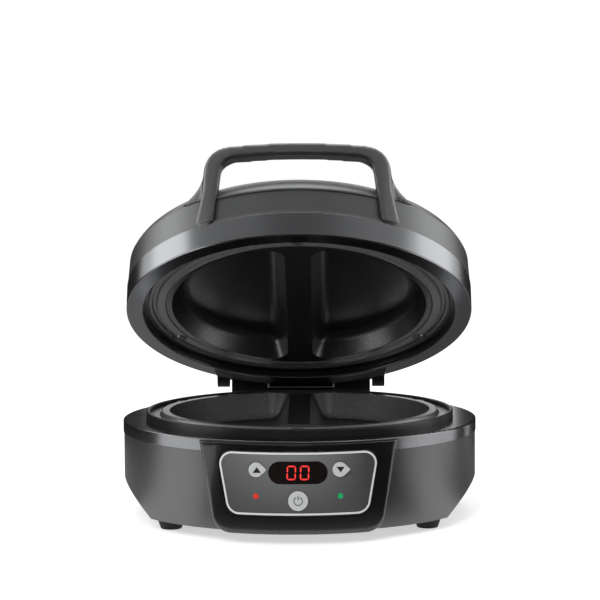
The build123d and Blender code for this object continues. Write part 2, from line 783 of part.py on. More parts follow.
def control_panel():
    plate = front_face(frame_outline(0.1 + frame_width + 0.05), -200, 0)
    plate = plate & (console_face(0.1) - console_face(frame_depth))
    plate -= front_face(Pos(0, window_z) * window_outline(0.1), -200, 0)
    for x in (-button_x, button_x):
        plate -= front_face(Pos(x, button_z) * offset(button_outline(), button_gap), -200, 0)
        plate -= front_face(Pos(math.copysign(led_x, x), led_z) * Circle(led_radius + 0.1), -200, 0)
    return plate - front_face(Pos(0, start_z) * Circle(start_radius + button_gap), -200, 0)


def display_window():
    pane = front_face(Pos(0, window_z) * window_outline(0), -200, 0)
    return pane & (console_face(0.3) - console_face(frame_depth))


def face_y(x):
    """Y of the console's face at a given x."""
    return console_centre_y - shell_wall_y(x, console_radius)


button_back = board_front - switch_height - plunger_height - button_travel - 0.3


def push_button(x, z, outline, flange_radius):
    """Cap that stands through the panel, with a flange behind it."""
    front = face_y(x) - button_proud
    cap = front_face(Pos(x, z) * outline, front, button_back)
    cap = fillet(cap.faces().sort_by(Axis.Y)[0].edges(), 0.5)
    flange_front = console_centre_y - shell_wall_y(abs(x) + flange_radius, console_radius - frame_depth)
    flange = rod_y(flange_radius, flange_front + 0.35, flange_front + 1.35, x, z)
    return cap + flange


def tact_switch(x, z):
    body = block(x - switch_size / 2, x + switch_size / 2, board_front - switch_height, board_front,
                 z - switch_size / 2, z + switch_size / 2)
    tip = board_front - switch_height
    return body + rod_y(plunger_radius, tip - plunger_height, tip, x, z)


def indicator_led(x, z):
    front = face_y(x) - 0.3
    lens = rod_y(led_radius, front, board_front, x, z)
    lens = fillet(lens.edges().sort_by(Axis.Y)[0], 0.7)
    return lens + rod_y(led_radius + 0.5, board_front - 1, board_front, x, z)


def display_module():
    width, height, depth = display_size
    return block(-width / 2, width / 2, board_front - depth, board_front,
                 window_z - height / 2, window_z + height / 2)


def control_board():
    board = block(-board_half_width, board_half_width, board_front, board_front + board_thickness,
                  board_low, board_high)
    for x, z in board_screws_at:
        board -= rod_y(1.3, board_front - 1, board_front + 5, x, z)
    return board


def board_screws():
    parts = []
    back = board_front + board_thickness
    for x, z in board_screws_at:
        parts.append(rod_y(2.2, back, back + 1.4, x, z) + rod_y(board_screw_radius, back - 4, back, x, z))
    return together(parts)


# ---------------------------------------------------------------- power electronics
power_board_z = 18.0
power_board_size = (84.0, 52.0)
power_board_y = 52.0
power_board_inset = 5.0


def board_posts():
    x, y = power_board_size[0] / 2 - power_board_inset, power_board_size[1] / 2 - power_board_inset
    return [(i * x, power_board_y + j * y) for i in (-1, 1) for j in (-1, 1)]


power_board_top = power_board_z + board_thickness


def power_board():
    width, depth = power_board_size
    board = block(-width / 2, width / 2, power_board_y - depth / 2, power_board_y + depth / 2,
                  power_board_z, power_board_top)
    for x, y in board_posts():
        board -= disc(1.3, power_board_z - 1, power_board_top + 1, x, y)
    return board


def power_board_screws():
    parts = []
    for x, y in board_posts():
        parts.append(disc(2.2, power_board_top, power_board_top + 1.4, x, y) +
                     disc(1.2, power_board_z, power_board_top, x, y))
    return together(parts)


def box_on_board(x, y, width, depth, height, edge=0.8):
    part = block(x - width / 2, x + width / 2, y - depth / 2, y + depth / 2,
                 power_board_top, power_board_top + height)
    return fillet(part.edges().filter_by(Axis.Z), edge)


def capacitor():
    return fillet(disc(5.0, power_board_top, power_board_top + 15, 24, 40).edges().sort_by(Axis.Z)[-1], 0.8)


# ---------------------------------------------------------------- write every piece
base_pieces = {
    "base_shell": base_shell,
    "base_trim_ring": base_trim_ring,
    "base_collar": base_collar,
    "base_bottom_cover": base_bottom_cover,
    "foot_screws": foot_screws,
    "lower_plate": lower_plate,
    "lower_plate_screws": lower_plate_screws,
    "lower_heating_element": lambda: heating_element(lower_element_z),
    "lower_heat_shield": lambda: heat_shield(shell_top, lower_shield_floor),
    "lower_thermostat": lambda: thermostat(lower_tub_back, -1),
    "base_hinge_bracket": base_hinge_bracket,
    "base_bracket_screws": bracket_screws,
    "hinge_pin": hinge_pin,
    "cord_inlet_bushing": cord_bushing,
    "console_housing": console_housing,
    "console_screws": console_screws,
    "chrome_frame": chrome_frame,
    "control_panel": control_panel,
    "display_window": display_window,
    "display_module": display_module,
    "control_board": control_board,
    "control_board_screws": board_screws,
    "power_board": power_board,
    "power_board_screws": power_board_screws,
    "relay": lambda: box_on_board(-22, 44, 19, 15, 15),
    "transformer": lambda: box_on_board(0, 62, 22, 18, 17),
    "terminal_block": lambda: box_on_board(-23, 65, 18, 11, 11),
    "filter_capacitor": capacitor,
}
lid_pieces = {
    "lid_shell": lid_shell,
    "lid_trim_ring": lid_trim_ring,
    "lid_handle": lid_handle,
    "handle_screws": handle_screws,
    "upper_plate": upper_plate,
    "upper_plate_screws": upper_plate_screws,
    "upper_heating_element": lambda: heating_element(upper_element_z),
    "upper_heat_shield": lambda: heat_shield(upper_lip, upper_shield_floor),
    "upper_thermostat": lambda: thermostat(upper_tub_back, 1),
    "lid_hinge_bracket": lid_hinge_bracket,
    "lid_bracket_screws": lid_bracket_screws,
}

for name, make in base_pieces.items():
    write(make(), name)
for name, make in lid_pieces.items():
    write(open_lid(make()), name)

foot_names = ("front_left", "rear_left", "front_right", "rear_right")
for name, (x, y) in zip(foot_names, foot_places):
    write(rubber_foot(x, y), f"rubber_foot_{name}")

for name, x in (("up", -button_x), ("down", button_x)):
    write(push_button(x, button_z, button_outline(), button_radius + 2.6), f"{name}_button")
    write(tact_switch(x, button_z), f"{name}_switch")
write(push_button(0, start_z, Circle(start_radius), start_radius + 0.6), "start_button")
write(tact_switch(0, start_z), "start_switch")
for name, x in (("power", -led_x), ("ready", led_x)):
    write(indicator_led(x, led_z), f"{name}_led")
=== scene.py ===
# %% [markdown]
# # The looks of an electric omelette maker
# A round countertop cooker stands with its domed lid part open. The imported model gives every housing,
# plate and fastener in its true size and place. This file gives each of them a surface, adds the fine
# pieces that a solid model leaves plain, and sets up a small studio. Everything is in metres, +Z is up,
# and -Y faces the user.

# %% Load the frame
import math

import bmesh
import bpy
from mathutils import Matrix, Vector


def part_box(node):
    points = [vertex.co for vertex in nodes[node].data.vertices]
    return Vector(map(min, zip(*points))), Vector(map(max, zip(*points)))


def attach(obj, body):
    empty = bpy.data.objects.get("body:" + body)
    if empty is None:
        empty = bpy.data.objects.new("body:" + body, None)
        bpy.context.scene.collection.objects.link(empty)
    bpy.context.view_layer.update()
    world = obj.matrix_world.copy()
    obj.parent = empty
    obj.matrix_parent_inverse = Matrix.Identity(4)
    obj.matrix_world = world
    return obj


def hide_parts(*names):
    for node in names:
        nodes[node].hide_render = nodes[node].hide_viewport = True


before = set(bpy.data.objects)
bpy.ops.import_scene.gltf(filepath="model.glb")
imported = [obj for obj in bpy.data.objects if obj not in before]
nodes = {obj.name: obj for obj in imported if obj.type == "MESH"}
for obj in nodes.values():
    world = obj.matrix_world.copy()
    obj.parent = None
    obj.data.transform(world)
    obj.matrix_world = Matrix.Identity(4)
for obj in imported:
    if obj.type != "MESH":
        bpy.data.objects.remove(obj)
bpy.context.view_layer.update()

MM = 0.001

# %% [markdown]
# ## A small language for finishes
# A shader is a net of nodes, and long nets are hard to read. Two helpers keep them short. A `Value` wraps
# the socket of a number that changes over a surface, so that ordinary arithmetic adds the Math nodes. A
# `Finish` owns one material: its `node` method makes any node, with its settings first and its sockets
# after, and the other methods give the patterns that most finishes share.

# %% Numbers that vary over a surface
class Value:
    """A number worked out at each point of a surface, used like a Python number."""

    def __init__(self, finish, socket):
        self.finish, self.socket = finish, socket

    def combine(self, operation, first, second):
        made = self.finish.node("ShaderNodeMath", {"operation": operation}, {0: first, 1: second})
        return Value(self.finish, made.outputs[0])

    def __add__(self, other):
        return self.combine("ADD", self, other)

    def __radd__(self, other):
        return self.combine("ADD", other, self)

    def __sub__(self, other):
        return self.combine("SUBTRACT", self, other)

    def __rsub__(self, other):
        return self.combine("SUBTRACT", other, self)

    def __mul__(self, other):
        return self.combine("MULTIPLY", self, other)

    def __rmul__(self, other):
        return self.combine("MULTIPLY", other, self)

    def __gt__(self, other):
        return self.combine("GREATER_THAN", self, other)


# %% Nets of nodes
class Net:
    """A node tree that is written as short calls."""

    def __init__(self, tree):
        self.tree = tree

    def node(self, kind, settings=(), sockets=()):
        """Any node: its settings are set first, then the values or links of its sockets."""
        made = self.tree.nodes.new(kind)
        for key, value in dict(settings).items():
            if key == "stops":
                self.set_stops(made.color_ramp.elements, value)
            else:
                setattr(made, key, value)
        for key, value in dict(sockets).items():
            self.feed(made.inputs[key], value)
        return made

    def set_stops(self, elements, stops):
        while len(elements) < len(stops):
            elements.new(1.0)
        for element, (position, colour) in zip(elements, stops):
            element.position, element.color = position, (*colour, 1)

    def feed(self, socket, value):
        if isinstance(value, Value):
            self.tree.links.new(value.socket, socket)
        elif isinstance(value, bpy.types.NodeSocket):
            self.tree.links.new(value, socket)
        else:
            socket.default_value = value

    def seen_directly(self):
        """1 for what the camera, a mirror or clear glass shows, 0 for what lights a matt surface."""
        path = self.node("ShaderNodeLightPath").outputs
        return Value(self, path["Is Camera Ray"]) + Value(self, path["Is Glossy Ray"]) \
            + Value(self, path["Is Transmission Ray"])

    def blend(self, share, first, second):
        """Mixes two colours by a share from 0 to 1."""
        first, second = [(*c, 1) if isinstance(c, tuple) else c for c in (first, second)]
        made = self.node("ShaderNodeMix", {"data_type": "RGBA"}, {0: share, 6: first, 7: second})
        return made.outputs[2]


# %% Materials
class Finish(Net):
    """One material, built from a Principled shader with its constant settings."""

    def __init__(self, name, colour, **settings):
        self.material = bpy.data.materials.new(name)
        self.material.use_nodes = True
        super().__init__(self.material.node_tree)
        self.surface = self.tree.nodes["Principled BSDF"]
        self.surface.inputs["Base Color"].default_value = (*colour, 1)
        for key, value in settings.items():
            self.surface.inputs[key.replace("_", " ")].default_value = value
        self.place = self.node("ShaderNodeTexCoord").outputs["Object"]

    def noise(self, scale, detail=2.0, place=None):
        made = self.node("ShaderNodeTexNoise", {},
                         {"Vector": place or self.place, "Scale": scale, "Detail": detail})
        return Value(self, made.outputs["Fac"])

    def cells(self, scale):
        """A random number for each small cell, for flakes and specks."""
        made = self.node("ShaderNodeTexVoronoi", {}, {"Vector": self.place, "Scale": scale})
        split = self.node("ShaderNodeSeparateColor", {}, {"Color": made.outputs["Color"]})
        return Value(self, split.outputs["Red"])

    def mapped(self, **settings):
        """Object coordinates moved, turned or stretched."""
        return self.node("ShaderNodeMapping", {}, {"Vector": self.place, **settings}).outputs[0]

    def axis(self, letter, place=None):
        split = self.node("ShaderNodeSeparateXYZ", {}, {"Vector": place or self.place})
        return Value(self, split.outputs[letter])

    def ramp(self, value, *stops):
        """A colour that follows a number through the given stops."""
        made = self.node("ShaderNodeValToRGB", {"stops": stops}, {"Fac": value})
        return made.outputs["Color"]

    def paint(self, colour):
        self.feed(self.surface.inputs["Base Color"], colour)
        return self

    def rough(self, value):
        self.feed(self.surface.inputs["Roughness"], value)
        return self

    def relief(self, height, depth, edge=0.0):
        """Surface relief of a real depth in metres, over softly rounded edges."""
        sockets = {"Height": height, "Strength": 1.0, "Distance": depth}
        if edge:
            sockets["Normal"] = self.node("ShaderNodeBevel", {"samples": 4}, {"Radius": edge}).outputs[0]
        made = self.node("ShaderNodeBump", {}, sockets)
        self.feed(self.surface.inputs["Normal"], made.outputs[0])
        return self


def shade(colour, factor):
    """A lighter or darker tone of a colour."""
    return tuple(channel * factor for channel in colour)


def dress(finish, *names):
    """Gives packed sub-parts a finish, leaving their shape alone."""
    for name in names:
        for place in nodes[name].material_slots:
            place.material = finish.material
    print(finish.material.name, "on", len(names), "sub-parts")


# %% [markdown]
# ## Graphite housing paint
# The base, the dome and the handle have a satin graphite paint with fine metal flakes. Flakes are tiny
# cells of slightly different tone, and a slow noise keeps broad faces from looking dead. The same recipe
# is made in three tones: the base is a touch darker and cooler than the dome, and the handle is as pale as
# the dome but a little glossier.

# %% Satin paint
FLAKE_SCALE = 2600.0


def satin_paint(name, colour, roughness, flake=0.10, coat=0.10):
    paint = Finish(name, colour, Metallic=0.9, Coat_Weight=coat, Coat_Roughness=0.3)
    tone = paint.cells(FLAKE_SCALE) * flake + paint.noise(14.0) * 0.10
    paint.paint(paint.blend(tone, shade(colour, 0.93), shade(colour, 1.35)))
    paint.rough(paint.noise(900.0) * 0.06 + paint.noise(22.0) * 0.05 + (roughness - 0.05))
    return paint.relief(paint.noise(1700.0, 1.0), 0.00001, edge=0.0005)


base_paint = satin_paint("graphite_base_paint", (0.145, 0.146, 0.150), 0.34)
dome_paint = satin_paint("graphite_dome_paint", (0.165, 0.169, 0.168), 0.36)
handle_paint = satin_paint("graphite_handle_paint", (0.165, 0.168, 0.168), 0.34)
dress(base_paint, "base_shell")
dress(dome_paint, "lid_shell")

# %% [markdown]
# ## Polished graphite metal
# The band round the lid's rim and the deck ring of the base are polished sheet with a dark tint. Real
# polishing leaves hair-fine lines that run round the ring. They follow the height on the ring, so the
# coordinate is squeezed along the ring's own axis. The lid's ring stands at the angle of the open lid, and
# its coordinates are turned back by that angle first.

# %% Dark polished metal
LID_OPENING = math.radians(31.0)
HINGE = Vector((0.0, 0.140, 0.084))
lid_front = Vector((0.0, -math.cos(LID_OPENING), math.sin(LID_OPENING)))
lid_up = Vector((0.0, math.sin(LID_OPENING), math.cos(LID_OPENING)))
HAIRLINE_STRETCH = (2.0, 2.0, 900.0)


def polished(name, colour, roughness, turn=0.0):
    metal = Finish(name, colour, Metallic=1.0)
    upright = metal.mapped(Rotation=(turn, 0.0, 0.0))
    lines = metal.node("ShaderNodeMapping", {}, {"Vector": upright, "Scale": HAIRLINE_STRETCH})
    fine = metal.noise(3.0, 4.0, lines.outputs[0])
    smear = metal.noise(30.0, 3.0)
    metal.paint(metal.blend(smear * 0.5, colour, shade(colour, 0.82)))
    metal.rough(fine * 0.10 + smear * 0.06 + (roughness - 0.08))
    return metal.relief(fine, 0.000004, edge=0.0004)


deck_metal = polished("polished_deck_ring", (0.26, 0.264, 0.272), 0.22)
lid_metal = polished("polished_lid_ring", (0.30, 0.305, 0.315), 0.22, LID_OPENING)
dress(deck_metal, "base_trim_ring")
dress(lid_metal, "lid_trim_ring")

# %% [markdown]
# ## Non-stick plates
# Both plates are cast aluminium under a dark non-stick coating full of metal flakes, so it mirrors its
# surroundings like dull metal. It has a soft orange-peel surface and a scatter of mineral specks. Outside a
# circle round the cavities the coating is made less metallic, so that it lights up paler there: a painted
# sheen that stands in for the highlights on the rings round each plate's cavities.

# %% Non-stick coating
LOWER_MIDDLE = (0.0, 0.0, 0.0)
UPPER_MIDDLE = (0.0, 0.020, 0.156)
LOWER_RIM_START = 0.086
UPPER_RIM_START = 0.099
COATING_METALLIC = 0.95
SPECK_LIMIT = 0.985                # cells with a random number above this are specks


def nonstick(name, turn, middle, rim_start, painted_sheen):
    """The coating, with its share of metal lowered outside a circle about the middle, so that the rim lights
    up paler: a painted sheen.
    """
    dark = (0.15, 0.151, 0.154)
    coat = Finish(name, dark, Coat_Weight=0.2, Coat_Roughness=0.2)
    flat = coat.node("ShaderNodeVectorMath", {"operation": "SUBTRACT"}, {0: coat.place, 1: middle})
    level = coat.node("ShaderNodeMapping", {}, {"Vector": flat.outputs[0], "Rotation": (turn, 0.0, 0.0)})
    x, y = coat.axis("X", level.outputs[0]), coat.axis("Y", level.outputs[0])
    rim = x * x + y * y > rim_start * rim_start
    specks = coat.cells(1500.0) > SPECK_LIMIT
    coat.paint(coat.blend(specks, dark, shade(dark, 2.2)))
    # Painted sheen: outside the circle the share of metal drops, so the rim lights up paler.
    coat.feed(coat.surface.inputs["Metallic"], COATING_METALLIC - rim * painted_sheen)
    coat.rough(coat.noise(500.0) * 0.10 + coat.noise(18.0) * 0.08 + 0.24)
    return coat.relief(coat.noise(650.0, 1.0), 0.00002, edge=0.0008)


dress(nonstick("nonstick_lower_plate", 0.0, LOWER_MIDDLE, LOWER_RIM_START, 0.35), "lower_plate")
dress(nonstick("nonstick_upper_plate", LID_OPENING, UPPER_MIDDLE, UPPER_RIM_START, 0.75), "upper_plate")

# %% [markdown]
# ## Black mouldings and rubber
# The collar, hinge brackets and bottom cover are black plastic with a spark-eroded grain: fine on the
# collar, coarser on the brackets. The feet and the cord grommet are rubber, rougher still and dusty.

# %% Black plastic and rubber
def black_moulding(name, grain, depth, roughness, tone=0.012):
    colour = (tone, tone, tone)
    plastic = Finish(name, colour)
    texture = plastic.noise(grain, 3.0)
    plastic.paint(plastic.blend(texture, shade(colour, 0.8), shade(colour, 1.5)))
    plastic.rough(texture * 0.12 + plastic.noise(25.0) * 0.08 + (roughness - 0.1))
    return plastic.relief(texture, depth, edge=0.0005)


dress(black_moulding("satin_black_collar", 2200.0, 0.00001, 0.34), "base_collar")
dress(black_moulding("grained_black_bracket", 1300.0, 0.00003, 0.42, 0.008),
      "base_hinge_bracket", "lid_hinge_bracket")
dress(black_moulding("textured_bottom_cover", 900.0, 0.00005, 0.62, 0.016), "base_bottom_cover")
feet = [name for name in nodes if name.startswith("rubber_foot")]
dress(black_moulding("foot_rubber", 1600.0, 0.00003, 0.70, 0.013), "cord_inlet_bushing", *feet)

# %% [markdown]
# ## The console
# The control console is a glossy graphite moulding. A chrome line frames a silver-grey panel, which is
# brushed from side to side and lacquered. The chrome line is painted pale and nearly matt, a painted
# reflection that stands in for the light that chrome catches. The panel's tone carries painted light: a
# painted highlight in its upper middle, fading to painted shade at its sides and foot. The display sits
# behind a tinted window.

# %% Console body, frame, panel and window
PANEL_HIGHLIGHT_SHIFT = 0.008                # the middle of the painted highlight lies this far left of the panel's own
PANEL_LIGHT_RISE = 20.0                  # growth of the painted light with height, per metre
PANEL_LIGHT_RISE_START = 0.30
PANEL_SHADE_FALL = 330.0                 # loss of the painted light towards the sides, per square metre: painted shade


def console_gloss():
    colour = (0.040, 0.041, 0.043)
    gloss = Finish("console_gloss_graphite", colour, Metallic=0.9, Coat_Weight=0.8, Coat_Roughness=0.12)
    gloss.paint(gloss.blend(gloss.cells(FLAKE_SCALE) * 0.25, shade(colour, 0.95), shade(colour, 1.5)))
    gloss.rough(gloss.noise(40.0, 3.0) * 0.08 + 0.26)
    return gloss.relief(gloss.noise(1500.0), 0.000005, edge=0.0008)


def trim_with_painted_shine():
    # The pale, nearly matt colour is a painted reflection: it stands in for the light that the chrome frame
    # catches.
    trim = Finish("bright_chrome_trim", (0.86, 0.87, 0.88), Metallic=0.25)
    haze = trim.noise(120.0, 3.0)
    trim.paint(trim.blend(haze * 0.4, (0.92, 0.93, 0.94), (0.80, 0.81, 0.82)))
    trim.rough(haze * 0.08 + 0.20)
    return trim.relief(haze, 0.000003, edge=0.0003)


def brushed_panel_with_painted_light():
    colour = (0.185, 0.188, 0.192)
    panel = Finish("brushed_silver_panel", colour, Metallic=0.35, Coat_Weight=0.25, Coat_Roughness=0.2)
    streaks = panel.noise(4.0, 5.0, panel.mapped(Scale=(6.0, 6.0, 700.0)))
    # Painted light and shade: the tone is lightest in the upper middle, a painted highlight, and darker at
    # the sides and foot, painted shade.
    across, height = panel.axis("X") + PANEL_HIGHLIGHT_SHIFT, panel.axis("Z") * PANEL_LIGHT_RISE - PANEL_LIGHT_RISE_START
    middle = 1.0 - across * across * PANEL_SHADE_FALL
    tone = panel.blend(middle * height, shade(colour, 0.36), shade(colour, 1.55))
    panel.paint(panel.blend(streaks * 0.25, tone, shade(colour, 1.1)))
    panel.rough(streaks * 0.14 + 0.26)
    return panel.relief(streaks, 0.000004, edge=0.0003)


def tinted_window():
    colour = (0.006, 0.004, 0.004)
    window = Finish("tinted_window", colour, Coat_Weight=1.0, Coat_Roughness=0.04)
    haze = window.noise(60.0, 3.0)
    window.paint(window.blend(haze, colour, shade(colour, 1.8)))
    window.rough(haze * 0.06 + 0.08)
    return window.relief(haze, 0.000004, edge=0.0004)


dress(trim_with_painted_shine(), "chrome_frame")
dress(brushed_panel_with_painted_light(), "control_panel")
dress(tinted_window(), "display_window")

# %% [markdown]
# ## Push buttons and lights
# The three buttons are finished in pale satin silver, with fine rings about each button's own centre. A
# ring pattern needs a distance from that centre, so each button gets its own copy of the finish. The two
# lights are clear coloured lenses that glow a little from inside.

# %% Buttons and lenses
RING_SPREAD = 60.0


def satin_button(name, node):
    low, high = [Vector(corner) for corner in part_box(node)]
    middle = (low + high) / 2
    silver = Finish(name, (0.62, 0.63, 0.64), Metallic=0.35, Coat_Weight=0.1, Coat_Roughness=0.2)
    centred = silver.mapped(Location=(-middle.x, 0.0, -middle.z))
    x, z = silver.axis("X", centred), silver.axis("Z", centred)
    spread = x * x * RING_SPREAD + z * z * RING_SPREAD
    around = silver.node("ShaderNodeCombineXYZ", {}, {"X": spread})
    rings = silver.noise(2200.0, 2.0, around.outputs[0])
    silver.paint(silver.blend(rings, (0.68, 0.69, 0.70), (0.86, 0.87, 0.88)))
    silver.rough(rings * 0.15 + 0.24)
    return silver.relief(rings, 0.000005, edge=0.0004)


def glowing_lens(name, colour, strength):
    lens = Finish(name, colour, Coat_Weight=0.6, Coat_Roughness=0.1, Emission_Strength=strength)
    facets = lens.cells(900.0)
    lens.paint(lens.blend(facets, shade(colour, 0.8), colour))
    lens.feed(lens.surface.inputs["Emission Color"], lens.blend(facets, shade(colour, 0.7), colour))
    lens.rough(facets * 0.1 + 0.15)
    return lens.relief(facets, 0.00002, edge=0.0003)


for button in ("up_button", "down_button", "start_button"):
    dress(satin_button("satin_" + button, button), button)
dress(glowing_lens("red_lens", (0.55, 0.03, 0.015), 0.55), "power_led")
dress(glowing_lens("green_lens", (0.01, 0.30, 0.10), 0.45), "ready_led")

# %% [markdown]
# ## Pieces inside
# What sits inside the housing shows only through gaps or when somebody takes the model apart, but it has
# real finishes all the same: heat-tinted steel, pressed aluminium, ceramic, green board and moulded cases.

# %% Inner parts
def plain_metal(name, colour, roughness, tint=None, lines=300.0):
    metal = Finish(name, colour, Metallic=1.0)
    streaks = metal.noise(4.0, 4.0, metal.mapped(Scale=(lines, 5.0, 5.0)))
    metal.paint(metal.blend(metal.noise(35.0, 3.0), colour, tint or shade(colour, 0.7)))
    metal.rough(streaks * 0.16 + (roughness - 0.08))
    return metal.relief(streaks, 0.000006, edge=0.0002)


def speckled_case(name, colour, roughness, grain=700.0):
    case = Finish(name, colour)
    texture = case.noise(grain, 3.0)
    case.paint(case.blend(texture, shade(colour, 0.75), shade(colour, 1.2)))
    case.rough(texture * 0.15 + (roughness - 0.07))
    return case.relief(texture, 0.00002, edge=0.0002)


def circuit_board():
    green = (0.010, 0.075, 0.030)
    board = Finish("green_board", green, Coat_Weight=0.3, Coat_Roughness=0.2)
    tracks = board.node("ShaderNodeTexBrick", {"offset": 0.5},
                        {"Vector": board.place, "Scale": 150.0, "Mortar Size": 0.03,
                         "Color1": (*green, 1), "Color2": (*shade(green, 0.8), 1),
                         "Mortar": (*shade(green, 1.9), 1)})
    board.paint(tracks.outputs["Color"])
    board.rough(board.noise(200.0) * 0.1 + 0.35)
    return board.relief(Value(board, tracks.outputs["Fac"]), 0.00003)


zinc = plain_metal("zinc_plated_steel", (0.52, 0.52, 0.53), 0.34)
dress(zinc, *[name for name in nodes if name.endswith("screws")], "hinge_pin")
dress(plain_metal("heat_tinted_sheath", (0.30, 0.28, 0.26), 0.42, (0.22, 0.14, 0.09)),
      "lower_heating_element", "upper_heating_element")
dress(plain_metal("pressed_aluminium", (0.60, 0.60, 0.61), 0.36), "lower_heat_shield", "upper_heat_shield")
dress(speckled_case("glazed_ceramic", (0.62, 0.58, 0.50), 0.30), "lower_thermostat", "upper_thermostat")
dress(circuit_board(), "control_board", "power_board")
dress(speckled_case("relay_blue", (0.02, 0.09, 0.30), 0.40), "relay")
dress(speckled_case("capacitor_sleeve", (0.03, 0.03, 0.07), 0.35), "filter_capacitor")
dress(plain_metal("laminated_core", (0.16, 0.14, 0.12), 0.5, lines=900.0), "transformer")
switches = [name for name in nodes if name.endswith("switch")]
dress(speckled_case("moulded_black_case", (0.015, 0.015, 0.016), 0.45), "terminal_block", "display_module",
      *switches)

# %% [markdown]
# ## Soft edges that catch light
# Two big mouldings need real roundings, because their edges are what the eye follows. The handle is a
# thick arch that people grip, rounded all over. The console has a rounding of a few millimetres round its
# face, which makes the pale lip along its foot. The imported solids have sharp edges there. A copy of each
# mesh is welded, because its triangles are loose. It gets small faces of one size by a voxel remesh, and
# a few rounds of smoothing then wear its edges round, as tumbling does to a casting. The handle is thin
# enough to shrink in that, so it is swollen a little first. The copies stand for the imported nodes, which
# stay for the physics.

# %% Copies with worn edges
WELD = 1e-6


def new_object(name, data):
    """An object in the scene that holds the given data."""
    made = bpy.data.objects.new(name, data)
    bpy.context.scene.collection.objects.link(made)
    return made


def welded_copy(name, source):
    """A closed copy of a packed sub-part's mesh, ready for modelling."""
    mesh = bmesh.new()
    mesh.from_mesh(nodes[source].data)
    bmesh.ops.remove_doubles(mesh, verts=mesh.verts, dist=WELD)
    data = bpy.data.meshes.new(name)
    mesh.to_mesh(data)
    mesh.free()
    return new_object(name, data)


def softened(piece, voxel, swell, steps):
    """Gives a closed piece even small faces, swells it, and smooths it so that every edge turns round."""
    even = piece.modifiers.new("even_faces", "REMESH")
    even.mode = "VOXEL"
    even.voxel_size = voxel
    swollen = piece.modifiers.new("swollen", "DISPLACE")
    swollen.strength = swell
    swollen.mid_level = 0.0
    worn = piece.modifiers.new("worn", "SMOOTH")
    worn.iterations = steps


def smooth(data, crease=60.0):
    """Shades a mesh smooth up to a crease angle in degrees."""
    data.polygons.foreach_set("use_smooth", [True] * len(data.polygons))
    data.set_sharp_from_angle(angle=math.radians(crease))


def settle(piece):
    """Applies a piece's modifiers."""
    graph = bpy.context.evaluated_depsgraph_get()
    data = bpy.data.meshes.new_from_object(piece.evaluated_get(graph))
    piece.modifiers.clear()
    piece.data = data
    smooth(data)
    print(piece.name, len(data.polygons), "faces")


def paint_piece(piece, finish):
    piece.data.materials.clear()
    piece.data.materials.append(finish.material)


# %% The handle
HANDLE_VOXEL = 1.0 * MM
HANDLE_SWELL = 1.0 * MM
HANDLE_SMOOTHING = 18

ARCH_CENTRE_Y = 108.0 * MM
ARCH_INNER_RADIUS = 219.6 * MM
WEB_SMOOTHING = 90


def worn_more(piece, chosen, steps):
    """Smooths only the points that are chosen by their place."""
    group = piece.vertex_groups.new(name="chosen")
    group.add([vertex.index for vertex in piece.data.vertices if chosen(vertex.co)], 1.0, "REPLACE")
    worn = piece.modifiers.new("worn_more", "SMOOTH")
    worn.iterations = steps
    worn.vertex_group = group.name
    settle(piece)


def behind_arch(point):
    """True for the webs between the legs and the dome, which lie behind the arch's own curve."""
    forward = (point - HINGE).dot(lid_front)
    return math.hypot(point.x, HINGE.y - forward - ARCH_CENTRE_Y) < ARCH_INNER_RADIUS


handle = welded_copy("rounded_handle", "lid_handle")
softened(handle, HANDLE_VOXEL, HANDLE_SWELL, HANDLE_SMOOTHING)
settle(handle)
worn_more(handle, behind_arch, WEB_SMOOTHING)
paint_piece(handle, handle_paint)
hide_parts("lid_handle")
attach(handle, "lid")

# %% The console
CONSOLE_VOXEL = 0.8 * MM
CONSOLE_ALL_OVER = 3
CONSOLE_OUTLINE = 16
CONSOLE_RADIUS = 130.0 * MM
CONSOLE_CENTRE_Y = -10.0 * MM
CONSOLE_FACE_DEPTH = 9.0 * MM
FRAME_MARGIN = 3.0 * MM
FRAME_TAPER = 0.16                 # how far the frame's sides lean inwards, for each metre down
frame_low, frame_high = [Vector(corner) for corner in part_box("chrome_frame")]


def near_outline(point):
    """True near the outline of the console's face, but not round the opening for the panel."""
    on_face = math.hypot(point.x, point.y - CONSOLE_CENTRE_Y) > CONSOLE_RADIUS - CONSOLE_FACE_DEPTH
    slope = (frame_high.z - point.z) * FRAME_TAPER
    beside = abs(point.x) + slope > frame_high.x + FRAME_MARGIN
    below = point.z < frame_low.z - FRAME_MARGIN
    return on_face and (beside or below)


console = welded_copy("rounded_console", "console_housing")
softened(console, CONSOLE_VOXEL, 0.0, CONSOLE_ALL_OVER)
settle(console)
worn_more(console, near_outline, CONSOLE_OUTLINE)
paint_piece(console, console_gloss())
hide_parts("console_housing")
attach(console, "base")

# %% [markdown]
# ## Digits on the display
# The display shows two zeros. A seven-segment digit is the same pointed bar placed again and again, which
# is what Geometry Nodes are for: a few points say where the bars lie and how they are turned, and the tree
# puts a bar on each. The points come from the digit's own proportions. The bars are then bent to the
# window's curve.

# %% Where the bars lie
WINDOW_Z = 50.8 * MM
DIGIT_HEIGHT = 10.2 * MM
DIGIT_WIDTH = 6.6 * MM
STROKE = 1.15 * MM
DIGIT_OFFSETS = (-4.55 * MM, 4.55 * MM)
SLANT = 0.04
LEVEL_TRIM = 0.9                   # shares of the stroke that shorten a bar, to leave gaps between bars
UPRIGHT_TRIM = 0.62
BAR_DEPTH = 0.35 * MM
BAR_PROUD = 0.05 * MM
WINDOW_SET_BACK = 0.3 * MM


def zero_segments():
    """Centre and turn of the six lit bars of a zero, about the digit's middle."""
    side, end = (DIGIT_WIDTH - STROKE) / 2, (DIGIT_HEIGHT - STROKE) / 2
    level = [(0.0, end, 0.0), (0.0, -end, 0.0)]
    upright = [(i * side, j * end / 2, math.pi / 2) for i in (-1, 1) for j in (-1, 1)]
    return level, upright


